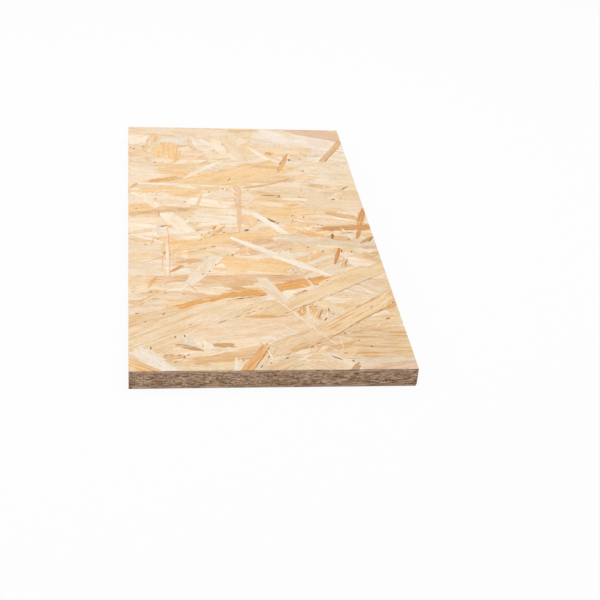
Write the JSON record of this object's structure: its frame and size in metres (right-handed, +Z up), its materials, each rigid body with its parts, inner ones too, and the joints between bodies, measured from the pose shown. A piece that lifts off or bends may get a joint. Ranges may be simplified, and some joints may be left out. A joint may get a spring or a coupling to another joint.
{
  "type": "oriented strand board panel",
  "caption": "Flat rectangular panel of pressed wood strands, with pale flaked faces and darker square sawn edges.",
  "frame": {"origin": "centre of the underside", "axes": "+X across the panel, along the face strands; +Y along its length, away from the front edge; +Z up through the thickness"},
  "size_m": [0.3, 0.6, 0.022],
  "materials": {
    "strand_face": "pressed strands, unsanded, satin",
    "sawn_edge": "rough sawn strand ends, matt"
  },
  "bodies": {
    "root": {"osb_panel": "strand_face"}
  },
  "joints": []
}
